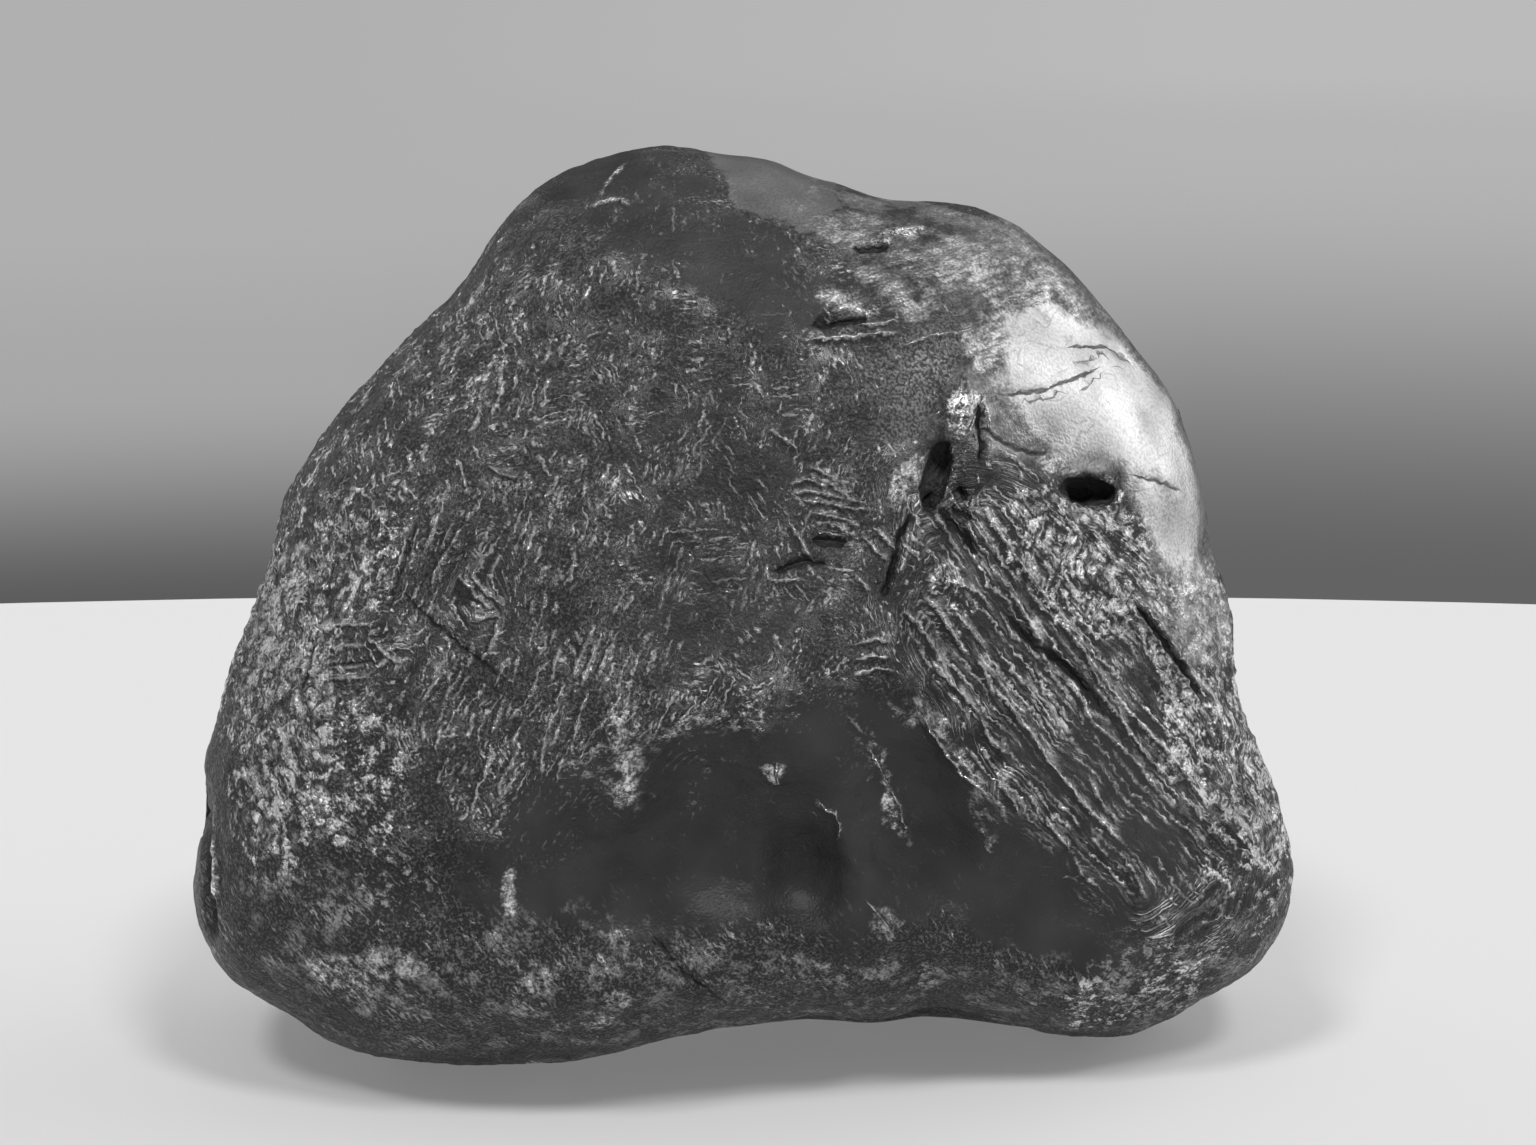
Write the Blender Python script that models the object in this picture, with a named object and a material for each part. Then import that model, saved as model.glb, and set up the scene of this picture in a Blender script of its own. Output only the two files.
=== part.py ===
"""An iron meteorite: one mass of solid iron, a rounded triangle seen from its broad face.

The broad face leans back and bulges, with a brow over an undercut hollow and two lobes at its foot.
Sizes are in millimetres up to the last step, which puts the mesh in metres with +Z up.
"""

import math

import bmesh
import bpy
import numpy as np
from mathutils import Vector, noise

MM = 0.001

# The broad face leans back from upright, and its middle is this high over the ground.
# A place on it is given as (across, up), across to the right and up along the leaning face.
LEAN = math.radians(14)
MIDDLE_HEIGHT = 117.5

# The outline and the forms of the broad face are placed as they look, on the outline's
# plane, from this far in front of its middle.
SEEN_FROM = 1003

# Thickness in front of the outline's plane and behind it, and how square the edges are:
# 2 is an ellipse, and more is fuller. The underside behind the outline is nearly straight.
FRONT_DEPTH = 64
BACK_DEPTH = 92
FRONT_SQUARENESS = 2.35
BACK_SQUARENESS = 2.5
UNDERSIDE_SQUARENESS = 5.5

# The outline, clockwise from the summit, from its own middle.
OUTLINE_MIDDLE = (-6.3, -7.5)
OUTLINE = (
    (-16.7, 108.3),
    (-5.4, 106.2),
    (7.5, 105.0),
    (15.0, 100.8),
    (23.3, 99.6),
    (30.3, 96.1),
    (43.2, 94.9),
    (55.0, 94.0),
    (65.6, 89.1),
    (75.0, 81.5),
    (84.4, 71.4),
    (93.8, 59.2),
    (102.7, 47.9),
    (105.5, 38.5),
    (109.3, 24.4),
    (110.2, 15.0),
    (115.2, 0.9),
    (116.3, -17.9),
    (118.7, -27.3),
    (125.3, -41.4),
    (129.0, -55.5),
    (130.7, -64.9),
    (128.3, -74.3),
    (124.3, -82.5),
    (115.9, -89.5),
    (106.7, -94.0),
    (96.8, -100.1),
    (87.0, -102.2),
    (71.7, -101.1),
    (64.4, -98.5),
    (53.8, -96.4),
    (47.5, -94.2),
    (38.5, -96.4),
    (31.3, -98.2),
    (18.6, -96.6),
    (8.7, -98.5),
    (-2.8, -99.6),
    (-19.0, -102.9),
    (-33.4, -106.7),
    (-53.3, -108.6),
    (-74.7, -107.9),
    (-90.0, -106.0),
    (-100.1, -101.3),
    (-110.0, -93.8),
    (-119.9, -89.5),
    (-126.7, -79.0),
    (-129.7, -69.6),
    (-130.2, -64.4),
    (-127.4, -59.0),
    (-126.7, -45.4),
    (-126.9, -35.5),
    (-123.6, -27.3),
    (-119.9, -13.2),
    (-114.2, 0.9),
    (-109.5, 15.0),
    (-108.3, 24.4),
    (-102.2, 33.8),
    (-96.6, 43.2),
    (-88.1, 52.6),
    (-77.1, 64.4),
    (-65.3, 76.1),
    (-56.2, 90.2),
    (-46.5, 99.6),
    (-35.3, 104.3),
    (-28.7, 106.7),
)

# Mesh: quads along each edge of the starting cube, and how far they crowd to the front.
EDGE_QUADS = 28
CROWDING = 0.22

# Where the grid is drawn together, so that small forms get more points: (across, up),
# reach and pull.
GATHERINGS = (
    ((75.5, 19.5), 20, 0.60),
    ((41.5, 21.0), 22, 0.58),
    ((19.0, 59.0), 16, 0.45),
)

# Planes that the front falls away by: a point on the crease, the way it falls in degrees
# from "across", the slope, and how soft the crease is.
FALLS = (
    ((31, 20), -6, 0.20, 9),
    ((6, 78), 52, 0.46, 2.0),
    ((-62, 84), 128, 0.10, 8),
)

# Swellings and dents of the front: (across, up), half length, half width, turn, height.
SWELLINGS = (
    ((-60, -10), 60, 45, 0, 2.5),
    ((-32, -33), 36, 12, 22, 4.0),
    ((26, -16), 20, 12, 0, 4.0),
    ((78, 52), 26, 16, -50, 3.0),
    ((66, 28), 16, 9, -8, -2.2),
    ((18, 42), 22, 12, -60, 1.5),
    ((-34, -99), 26, 9, 10, 2.0),
    ((-96, -92), 22, 12, -20, 4.0),
    ((24, -88), 24, 7, 8, 2.5),
    ((88, -90), 24, 12, 20, 4.0),
    ((-85, 5), 14, 26, 20, 2.0),
    ((66, -38), 44, 10, -57, 2.2),
    ((6, -72), 64, 24, 0, -13.0),
    ((-40, -101), 40, 10, 3, 4.0),
)

# Thumb-shaped scoops of the undercut hollow, which meet in sharp cusps: (across, up),
# half width, half height, turn, depth.
SCOOPS = (
    ((-37, -72), 21, 26, 24, 8),
    ((-14, -58), 24, 24, 10, 11),
    ((7, -63), 15, 22, 0, 14),
    ((34, -58), 17, 37, 33, 13),
    ((64, -80), 28, 15, -28, 7),
    ((-74, -76), 13, 17, 0, 4),
)

# Ribs: two ends, half width and height. The long ones follow one plane of the iron's
# crystals, and the last are the lips of the gouge and of the cleft.
RIBS = (
    ((35, -28), (54, -56), 3.4, 2.2),
    ((48, -26), (60, -46), 3.4, 1.4),
    ((64, -42), (82, -64), 3.4, 1.6),
    ((66, -58), (82, -78), 3.4, 1.4),
    ((52, 12), (98, -46), 3.4, 1.0),
    ((78, 8), (106, -34), 3.4, 1.0),
    ((-60, -62), (-56, -86), 5.0, 1.6),
    ((8, 55), (32, 56), 3.0, 1.8),
    ((31, 15), (37, 31), 4.0, 1.6),
    ((51, 42), (50, 26), 3.4, 1.8),
)

# Pits with steep walls: (across, up), half width, half height, turn, depth.
PITS = (
    ((75.7, 19.3), 8.0, 5.0, -8, 6.0),
    ((40.6, 26.0), 4.4, 8.0, -12, 4.0),
    ((42.0, 17.0), 8.0, 5.6, -8, 4.5),
    ((16.0, 60.0), 7.0, 3.6, 6, 2.4),
)

# Shallow thumbprints of the back, as the scoops of the front.
THUMBPRINTS = (
    ((-62, 40), 26, 22, 30, 5.0),
    ((-10, 62), 28, 20, -10, 4.0),
    ((46, 46), 25, 22, 20, 5.5),
    ((-88, -8), 22, 26, 0, 4.0),
    ((-34, 4), 27, 24, -25, 5.0),
    ((20, 2), 24, 27, 15, 4.5),
    ((72, -8), 24, 28, -10, 5.0),
    ((-66, -52), 28, 22, 10, 5.0),
    ((-8, -48), 27, 22, 0, 4.5),
    ((48, -54), 26, 20, -15, 5.0),
    ((94, -58), 20, 22, 0, 4.0),
)

# The lobe at the foot on the right stands further back than the rest of the outline:
# its direction from the outline's middle in degrees, its spread and its setback.
LOBE_DIRECTION = -48
LOBE_SPREAD = 24
LOBE_SETBACK = 20

# The ground contact: the middle of the flat spot behind the foot, its half sizes, and how
# far the underside sags there before the ground flattens it.
SPOT_MIDDLE = (4, 34)
SPOT_HALF = (70, 26)
SPOT_SAG = 9

# Low, slow waves over the whole skin.
WAVE_LENGTH = 27
WAVE_HEIGHT = 1.3

IRON_COLOUR = (0.22, 0.21, 0.20, 1)


def soft_step(value):
    """0 below 0 and 1 above 1, with a smooth rise between."""
    clipped = np.clip(value, 0, 1)
    return clipped * clipped * (3 - 2 * clipped)


def turned(places, middle, turn):
    """Places as seen from middle, along axes turned by turn degrees."""
    angle = math.radians(turn)
    across = places[:, 0] - middle[0]
    up = places[:, 1] - middle[1]
    along = across * math.cos(angle) + up * math.sin(angle)
    beside = up * math.cos(angle) - across * math.sin(angle)
    return along, beside


def ring_curve(angles, points):
    """Radius in each direction, on a smooth closed curve through points."""
    points = np.array(points, dtype=float)
    knots = np.arctan2(points[:, 1], points[:, 0])
    radii = np.hypot(points[:, 0], points[:, 1])
    order = np.argsort(knots)
    knots = knots[order]
    radii = radii[order]
    full = 2 * math.pi
    knots = np.concatenate([knots[-2:] - full, knots, knots[:2] + full])
    radii = np.concatenate([radii[-2:], radii, radii[:2]])
    slopes = (radii[2:] - radii[:-2]) / (knots[2:] - knots[:-2])
    wrapped = (angles - knots[1]) % full + knots[1]
    left = np.searchsorted(knots[1:-1], wrapped, side="right")
    left = np.clip(left, 1, len(slopes) - 1)
    width = knots[left + 1] - knots[left]
    t = (wrapped - knots[left]) / width
    before = radii[left] * (2 * t**3 - 3 * t**2 + 1)
    after = radii[left + 1] * (3 * t**2 - 2 * t**3)
    lean_in = slopes[left - 1] * width * (t**3 - 2 * t**2 + t)
    lean_out = slopes[left] * width * (t**3 - t**2)
    return before + after + lean_in + lean_out


def outline_radius(angles, share):
    """The outline's radius where share is 1, and a calmer one towards the middle."""
    spread = np.radians(np.arange(-28, 29, 4))
    calm = np.mean([ring_curve(angles + s, OUTLINE) for s in spread], axis=0)
    edge = soft_step((share - 0.55) / 0.4)
    return calm + (ring_curve(angles, OUTLINE) - calm) * edge


def fall_of_front(places):
    """How much thinner the front is past each crease."""
    fall = np.zeros(len(places))
    for point, way, slope, softness in FALLS:
        along, _ = turned(places, point, way)
        fall += slope * softness * np.logaddexp(0, along / softness)
    return fall


def relief_of_front(places):
    """How far the front stands out of its even bulge at each place."""
    height = np.zeros(len(places))
    for middle, long, wide, turn, rise in SWELLINGS:
        along, beside = turned(places, middle, turn)
        height += rise * np.exp(-((along / long) ** 2) - (beside / wide) ** 2)
    for start, end, wide, rise in RIBS:
        length = math.dist(start, end)
        way = math.degrees(math.atan2(end[1] - start[1], end[0] - start[0]))
        along, beside = turned(places, start, way)
        past = along - np.clip(along, 0, length)
        height += rise * np.exp(-(beside**2 + past**2) / wide**2)
    return height - scooped(places, SCOOPS) - pitted(places)


def scooped(places, scoops):
    """Depth of overlapping bowls, of which the deepest counts at each place."""
    depth = np.zeros(len(places))
    for middle, wide, high, turn, deep in scoops:
        along, beside = turned(places, middle, turn)
        away = (along / wide) ** 2 + (beside / high) ** 2
        bowl = deep * np.clip(1 - away, 0, 1) ** 1.1
        depth = np.maximum(depth, bowl)
    return depth


def pitted(places):
    """Depth of the steep pits."""
    depth = np.zeros(len(places))
    for middle, wide, high, turn, deep in PITS:
        along, beside = turned(places, middle, turn)
        away = np.hypot(along / wide, beside / high)
        depth = np.maximum(depth, deep * soft_step((1.45 - away) / 1.2))
    return depth


def gathered(disc):
    """The grid's points, on a disc of radius 1, drawn towards the small forms."""
    moved = disc.copy()
    middle = np.array(OUTLINE_MIDDLE)
    for place, reach, pull in GATHERINGS:
        offset = np.array(place) - middle
        angle = np.arctan2(offset[1], offset[0])
        radius = outline_radius(np.array([angle]), np.array([0.6]))[0]
        target = offset / radius
        away = np.linalg.norm(moved - target, axis=1) * radius / reach
        free = soft_step((1 - np.linalg.norm(disc, axis=1)) / 0.35)
        weight = pull * np.exp(-(away**2)) * free
        moved += (target - moved) * weight[:, None]
    return moved


def shaped(directions):
    """Where each point of a unit sphere lies on the mass, in metres."""
    toward_front = -directions[:, 1]
    in_front = toward_front >= 0
    sideways = np.hypot(directions[:, 0], directions[:, 2])
    angle = np.arctan2(directions[:, 2], directions[:, 0])
    below = np.exp(-(((np.degrees(angle) + 90) / 48) ** 2))
    back = BACK_SQUARENESS + (UNDERSIDE_SQUARENESS - BACK_SQUARENESS) * below
    square = np.where(in_front, FRONT_SQUARENESS, back)
    depth = np.abs(toward_front)
    size = (sideways**square + depth**square) ** (-1 / square)
    share = sideways * size
    disc = np.stack([share * np.cos(angle), share * np.sin(angle)], axis=1)
    disc = np.where(in_front[:, None], gathered(disc), disc)
    moved = np.linalg.norm(disc, axis=1)
    angle = np.arctan2(disc[:, 1], disc[:, 0])
    swelling = np.clip(1 - moved**square, 0, 1) ** (1 / square)
    swelling = np.where(np.abs(moved - share) > 1e-6, swelling, depth * size)
    radius = outline_radius(angle, moved)[:, None]
    places = disc * radius + np.array(OUTLINE_MIDDLE)
    inside = soft_step((1 - moved) / 0.16)
    front_depth = FRONT_DEPTH - fall_of_front(places)
    proud = swelling * np.where(in_front, front_depth, -BACK_DEPTH)
    proud += np.where(in_front, relief_of_front(places) * inside, 0)
    proud += np.where(in_front, 0, scooped(places, THUMBPRINTS) * inside)
    from_lobe = np.degrees(angle) - LOBE_DIRECTION
    setback = LOBE_SETBACK * np.exp(-((from_lobe / LOBE_SPREAD) ** 2)) * moved**4
    proud -= setback
    nearer = np.where(in_front, proud, -setback)
    places = places * (1 - nearer / SEEN_FROM)[:, None]
    x = places[:, 0]
    y = places[:, 1] * math.sin(LEAN) - proud * math.cos(LEAN)
    z = places[:, 1] * math.cos(LEAN) + proud * math.sin(LEAN) + MIDDLE_HEIGHT
    return np.stack([x, y, z], axis=1)


def waved(points, inside):
    """Points moved out and in by slow waves, least along the outline."""
    middle = points.mean(axis=0)
    outward = points - middle
    outward /= np.linalg.norm(outward, axis=1)[:, None]
    heights = [noise.noise(Vector(point / WAVE_LENGTH)) for point in points]
    return points + outward * (np.array(heights) * WAVE_HEIGHT * inside)[:, None]


def settled(points):
    """The underside let down behind the foot, and flat where the ground stops it."""
    x = (points[:, 0] - SPOT_MIDDLE[0]) / SPOT_HALF[0]
    y = (points[:, 1] - SPOT_MIDDLE[1]) / SPOT_HALF[1]
    low = soft_step((45 - points[:, 2]) / 35)
    sag = SPOT_SAG * np.exp(-(x**4) - y**4) * low
    points[:, 2] = np.maximum(points[:, 2] - sag, 0)
    return points


def unit_directions():
    """A cube divided in a square grid and blown up to a unit sphere, as a bmesh."""
    grid = bmesh.new()
    bmesh.ops.create_cube(grid, size=2)
    bmesh.ops.subdivide_edges(
        grid, edges=grid.edges[:], cuts=EDGE_QUADS - 1, use_grid_fill=True
    )
    for vertex in grid.verts:
        even = [math.tan(value * math.pi / 4) for value in vertex.co]
        outward = Vector(even).normalized() + Vector((0, -CROWDING, 0))
        vertex.co = outward.normalized()
    return grid


def iron():
    """The skin's material: bare, weathered iron."""
    material = bpy.data.materials.new("weathered_iron")
    material.use_nodes = True
    shader = material.node_tree.nodes["Principled BSDF"]
    shader.inputs["Base Color"].default_value = IRON_COLOUR
    shader.inputs["Metallic"].default_value = 1
    shader.inputs["Roughness"].default_value = 0.5
    return material


def make_meteorite(collection):
    """The whole mass, with its origin on the ground under the middle of its box."""
    grid = unit_directions()
    directions = np.array([vertex.co for vertex in grid.verts], dtype=float)
    inside = soft_step((np.abs(directions[:, 1]) - 0.05) / 0.3)
    points = settled(waved(shaped(directions), inside))
    middle = (points.min(axis=0) + points.max(axis=0)) / 2
    middle[2] = 0
    for vertex, point in zip(grid.verts, points - middle):
        vertex.co = Vector(point) * MM
    bmesh.ops.recalc_face_normals(grid, faces=grid.faces[:])
    mesh = bpy.data.meshes.new("meteorite")
    grid.to_mesh(mesh)
    grid.free()
    mesh.shade_smooth()
    mesh.materials.append(iron())
    meteorite = bpy.data.objects.new("meteorite", mesh)
    collection.objects.link(meteorite)
    return meteorite


for leftover in list(bpy.data.objects):
    bpy.data.objects.remove(leftover)
parts = bpy.data.collections.new("iron_meteorite")
bpy.context.scene.collection.children.link(parts)
make_meteorite(parts)
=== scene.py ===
"""Looks of an iron meteorite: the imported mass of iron, given the fine relief and the finish of
weathered, partly worn nickel-iron, on a pale cloth-covered table in soft studio light."""

import math

import bmesh
import bpy
import numpy as np
from mathutils import Matrix, Vector


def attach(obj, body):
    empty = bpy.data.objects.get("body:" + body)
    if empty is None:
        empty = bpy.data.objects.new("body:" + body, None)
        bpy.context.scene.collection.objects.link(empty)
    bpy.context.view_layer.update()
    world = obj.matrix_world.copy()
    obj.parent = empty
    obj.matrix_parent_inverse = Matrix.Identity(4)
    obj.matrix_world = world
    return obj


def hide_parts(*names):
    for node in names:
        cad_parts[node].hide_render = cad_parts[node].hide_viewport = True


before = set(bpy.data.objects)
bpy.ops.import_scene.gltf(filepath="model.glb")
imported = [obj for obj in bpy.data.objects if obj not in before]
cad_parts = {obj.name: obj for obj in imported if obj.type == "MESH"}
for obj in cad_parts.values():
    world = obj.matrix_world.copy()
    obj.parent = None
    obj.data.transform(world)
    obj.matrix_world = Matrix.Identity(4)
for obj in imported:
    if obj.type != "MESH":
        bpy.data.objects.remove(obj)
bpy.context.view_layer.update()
scene = bpy.context.scene


# The broad face of the mass, and the camera square in front of it, a metre away.
# The face leans back 14 degrees from upright. A place on it is (across, up) in millimetres
# from its middle, as it looks on the plane of its outline from the camera's place.
MM = 0.001
LEAN = math.radians(14)
FACE_MIDDLE = np.array((5.11, -10.61, 117.5))
FACE_UP = np.array((0, math.sin(LEAN), math.cos(LEAN)))
FACE_OUT = np.array((0, -math.cos(LEAN), math.sin(LEAN)))
CAMERA_AWAY = 1003
LENS_LENGTH = 100
FILM_WIDTH = 36

lens = bpy.data.cameras.new("camera")
lens.lens = LENS_LENGTH
lens.sensor_width = FILM_WIDTH
camera = bpy.data.objects.new("camera", lens)
turn = Matrix((Vector((1, 0, 0)), Vector(FACE_UP), Vector(FACE_OUT))).transposed()
camera.matrix_world = turn.to_4x4()
camera.location = Vector(FACE_MIDDLE + FACE_OUT * CAMERA_AWAY) * MM
scene.collection.objects.link(camera)
scene.camera = camera


# The mass: one lump of natural nickel-iron, cooled for so long that it is built of flat
# crystal plates. Weather has eaten between the plates and left their edges as thin crinkled
# ridges, in a few directions that hold all over the mass, and handling has worn the shoulder.
SAME_PLACE = MM / 1000
NEARLY_FLAT = math.radians(60)
SUBDIVISIONS = 3
MOST_TRIANGLES = 196000


def bake_modifiers(piece):
    """The piece's modifiers made part of its mesh."""
    bpy.context.view_layer.update()
    seen = piece.evaluated_get(bpy.context.evaluated_depsgraph_get())
    mesh = bpy.data.meshes.new_from_object(seen)
    piece.modifiers.clear()
    piece.data = mesh
    mesh.name = piece.name


def divided_mass():
    """A finely divided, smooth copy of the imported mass."""
    body = bmesh.new()
    body.from_mesh(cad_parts["meteorite"].data)
    bmesh.ops.remove_doubles(body, verts=body.verts[:], dist=SAME_PLACE)
    bmesh.ops.join_triangles(
        body,
        faces=body.faces[:],
        angle_face_threshold=NEARLY_FLAT,
        angle_shape_threshold=NEARLY_FLAT,
    )
    mesh = bpy.data.meshes.new("coarse_mass")
    body.to_mesh(mesh)
    body.free()
    mass = bpy.data.objects.new("mass_of_iron", mesh)
    scene.collection.objects.link(mass)
    smooth = mass.modifiers.new("smooth", "SUBSURF")
    smooth.levels = SUBDIVISIONS
    smooth.render_levels = SUBDIVISIONS
    bake_modifiers(mass)
    return mass


def read_points(mesh, what):
    """One vector of each vertex, as rows."""
    values = np.zeros(len(mesh.vertices) * 3)
    mesh.vertices.foreach_get(what, values)
    return values.reshape(-1, 3)


def seen_places(points):
    """Where points, in millimetres, are seen on the plane of the outline."""
    offset = points - FACE_MIDDLE
    flat = np.stack([offset[:, 0], offset @ FACE_UP], axis=1)
    return flat / (1 - offset @ FACE_OUT / CAMERA_AWAY)[:, None]


def soft_step(value):
    """0 below 0 and 1 above 1, with a smooth rise between."""
    clipped = np.clip(value, 0, 1)
    return clipped * clipped * (3 - 2 * clipped)


# Relief of the skin. Weather works unevenly, so smooth random fields drive it: one value for
# each place in space, the same in each run. What is added to a place moves one field away
# from the others.
NOISE_SEED = 11
KEYS = 256
LAST_KEY = KEYS - 1
draw = np.random.default_rng(NOISE_SEED)
SHUFFLE = np.concatenate([draw.permutation(KEYS)] * 2)
SLOPES = draw.normal(size=(KEYS, 3))
SLOPES /= np.linalg.norm(SLOPES, axis=1)[:, None]
CELL_SCATTER = 0.45


def field(places):
    """A smooth random value from about -0.6 to 0.6, which changes over one unit of length."""
    cell = np.floor(places).astype(int)
    part = places - cell
    blend = part * part * part * (part * (part * 6 - 15) + 10)
    total = np.zeros(len(places))
    for corner in range(8):
        step = np.array((corner & 1, corner >> 1 & 1, corner >> 2 & 1))
        x, y, z = ((cell + step) & LAST_KEY).T
        slope = SLOPES[SHUFFLE[SHUFFLE[SHUFFLE[x] + y] + z]]
        weight = np.prod(np.where(step, blend, 1 - blend), axis=1)
        total += weight * np.sum(slope * (part - step), axis=1)
    return total


def fields(places, *moves):
    """Columns of smooth random values, one for each move of the field."""
    return np.stack([field(places + move) for move in moves], axis=1)


def rich(places, octaves, share):
    """Random values from 0 to 1, which change over one unit and, less, over finer ones."""
    total = np.zeros(len(places))
    whole = 0
    for octave in range(octaves):
        total += share**octave * field(places * 2**octave + 17 * octave)
        whole += share**octave
    return 0.5 + 0.5 * total / whole


def cell_values(places):
    """One random value for each cell of a skin of uneven cells, about one unit across."""
    cell = np.floor(places).astype(int)
    best = np.full(len(places), np.inf)
    value = np.zeros(len(places))
    for step in np.ndindex(3, 3, 3):
        corner = cell + np.array(step) - 1
        x, y, z = (corner & LAST_KEY).T
        key = SHUFFLE[SHUFFLE[SHUFFLE[x] + y] + z]
        away = np.sum((places - corner - 0.5 - CELL_SCATTER * SLOPES[key]) ** 2, axis=1)
        value = np.where(away < best, key / KEYS, value)
        best = np.minimum(best, away)
    return value


# The four planes of the crystal plates: one normal each, as parts across, up and out of the
# face. Three leave their edges on the broad face as lines, at -57, 67 and 4 degrees, and the
# fourth lies in the face. No plate is quite flat: it has waves, each of a size and a height.
SLANT_ALONG = 0.943
SLANT_OUT = 0.333
PLATE_WAVES = ((28, 4), (5, 0.6), (1.7, 0.3))
ROW_STEP = 5.37
ROW_SWAY = 0.2
HALF_RIDGE = 0.26


def plate_normal(direction):
    """The normal of the plates whose lines run square to direction on the broad face."""
    angle = math.radians(direction)
    along = np.array((math.cos(angle), 0, 0)) + math.sin(angle) * FACE_UP
    return SLANT_ALONG * along + SLANT_OUT * FACE_OUT


PLATES = {
    "west": plate_normal(33),
    "east": plate_normal(157),
    "level": plate_normal(274),
    "face": FACE_OUT,
}


def plate_axes(normal):
    """The normal and two directions within the plates."""
    first = np.cross(normal, (0.31, 0.52, 0.79))
    first /= np.linalg.norm(first)
    return np.stack([normal / np.linalg.norm(normal), first, np.cross(normal, first)])


def plate_ridges(points, name, spacing, length, move):
    """Ridges of 1 along the edges of one set of plates, which start and stop, and 0 between."""
    along = points @ plate_axes(PLATES[name]).T
    long_wave, wave, crinkle = [
        field(points / size + move) * height for size, height in PLATE_WAVES
    ]
    across = along[:, 0] + long_wave
    across += wave + crinkle
    across /= spacing
    row = np.floor(across)
    beside = across - row - 0.5 + ROW_SWAY * np.sin(row * 12.9)
    rows = np.stack([row * ROW_STEP, along[:, 1] / length, along[:, 2] / length], axis=1)
    there = soft_step(field(rows + move) * 4 + 0.35)
    return np.clip(1 - np.abs(beside) / HALF_RIDGE, 0, 1) * there


# Single lines: how far round them places are looked at, and what stands for no line near.
LINE_REACH = 2.5
NO_LINE = 3.0


def along_line(spots, stops):
    """How far places lie from a line that joins stops, on which side, and the share passed."""
    total = sum(math.dist(p, q) for p, q in zip(stops, stops[1:]))
    best = np.full(len(spots), np.inf)
    side = np.zeros(len(spots))
    run = np.zeros(len(spots))
    passed = 0
    for start, end in zip(stops, stops[1:]):
        step = np.subtract(end, start)
        length = np.hypot(*step)
        offset = spots - start
        share = np.clip(offset @ step / length**2, 0, 1)
        away = np.linalg.norm(offset - share[:, None] * step, axis=1)
        nearer = away < best
        turn = step[0] * offset[:, 1] - step[1] * offset[:, 0]
        side = np.where(nearer, np.where(turn < 0, -away, away), side)
        run = np.where(nearer, (passed + share * length) / total, run)
        best = np.minimum(best, away)
        passed += length
    return best, side, run


def near_line(places, stops, reach):
    """Which places are in the box round a line."""
    low = np.min(stops, axis=0) - reach
    high = np.max(stops, axis=0) + reach
    return np.all((places > low) & (places < high), axis=1).nonzero()[0]


def drawn_lines(places, lines):
    """The strongest of some lines, each a half width, a height and the places that it joins."""
    best = np.zeros(len(places))
    for wide, rise, *stops in lines:
        near = near_line(places, stops, 2 * wide)
        away, _, run = along_line(places[near], stops)
        taper = np.clip(np.minimum(run, 1 - run) * 5, 0.2, 1)
        line = np.clip(1 - away / (wide * 1.2), 0, 1) * taper
        best[near] = np.maximum(best[near], line * rise)
    return best


def line_sets(lines, apart):
    """The lines dealt into sets, so that no two lines of a set come close."""
    sets = []
    for line in lines:
        steps = np.linspace(0, 1, 9)[:, None]
        trail = np.concatenate(
            [p + steps * np.subtract(q, p) for p, q in zip(line[2:], line[3:])]
        )
        for chosen, trails in sets:
            gaps = [np.min(np.linalg.norm(trail[:, None] - t, axis=2)) for t in trails]
            if min(gaps) > apart:
                break
        else:
            chosen, trails = [], []
            sets.append((chosen, trails))
        chosen.append(line)
        trails.append(trail)
    return [chosen for chosen, trails in sets]


def line_sides(places, lines):
    """The distance to the nearest line, less than 0 on one side of it, and the line's height."""
    sides = np.full(len(places), NO_LINE)
    rises = np.zeros(len(places))
    for _, rise, *stops in lines:
        near = near_line(places, stops, LINE_REACH)
        away, side, run = along_line(places[near], stops)
        taper = soft_step(np.minimum(run, 1 - run) * 6) * soft_step((2.1 - away) / 0.9)
        closer = away < np.abs(sides[near])
        sides[near[closer]] = side[closer]
        rises[near[closer]] = (rise * taper)[closer]
    return sides, rises


def ellipse_reach(places, middle, long, wide, degrees):
    """How far out places lie in a turned ellipse: 0 in its middle and 1 on its edge."""
    angle = math.radians(degrees)
    across = places[:, 0] - middle[0]
    up = places[:, 1] - middle[1]
    along = across * math.cos(angle) + up * math.sin(angle)
    beside = up * math.cos(angle) - across * math.sin(angle)
    return np.hypot(along / long, beside / wide)


PATCH_EDGE = 1.25
PATCH_FADE = 0.5


def patches(places, ellipses):
    """The strongest of some soft-edged ellipses: middle, half length, half width, turn, value."""
    best = np.zeros(len(places))
    for *ellipse, value in ellipses:
        away = ellipse_reach(places, *ellipse)
        best = np.maximum(best, value * soft_step((PATCH_EDGE - away) / PATCH_FADE))
    return best


# Skins of the broad face, as soft-edged ellipses: middle, half length, half width, turn in
# degrees and strength. The first three show the edges of one set of plates each, the chopped
# skin has short ends of all of them, then come broken skins, and last the rubbed ones, with
# the smooth facet on top, which is painted lighter where the light from above falls on it.
WEST_LINES = (
    ((74, -30), 64, 32, -57, 1.0),
    ((100, -50), 26, 10, -60, 1.0),
    ((-66, -4), 8, 14, 0, 0.6),
    ((-90, -18), 8, 8, 0, 0.6),
)
EAST_LINES = (
    ((-46, -24), 44, 30, 60, 0.9),
    ((-74, 6), 16, 14, 0, 1.0),
    ((-76, -32), 16, 12, 60, 0.9),
    ((-98, -10), 18, 26, 70, 0.4),
    ((-20, 20), 40, 34, 0, 0.25),
)
LEVEL_LINES = (
    ((-100, -18), 10, 12, 0, 1.0),
    ((-28, -2), 30, 4, 3, 0.7),
    ((10, 0), 18, 4, 4, 0.6),
    ((15, 16), 11, 6, -10, 0.8),
)
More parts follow.
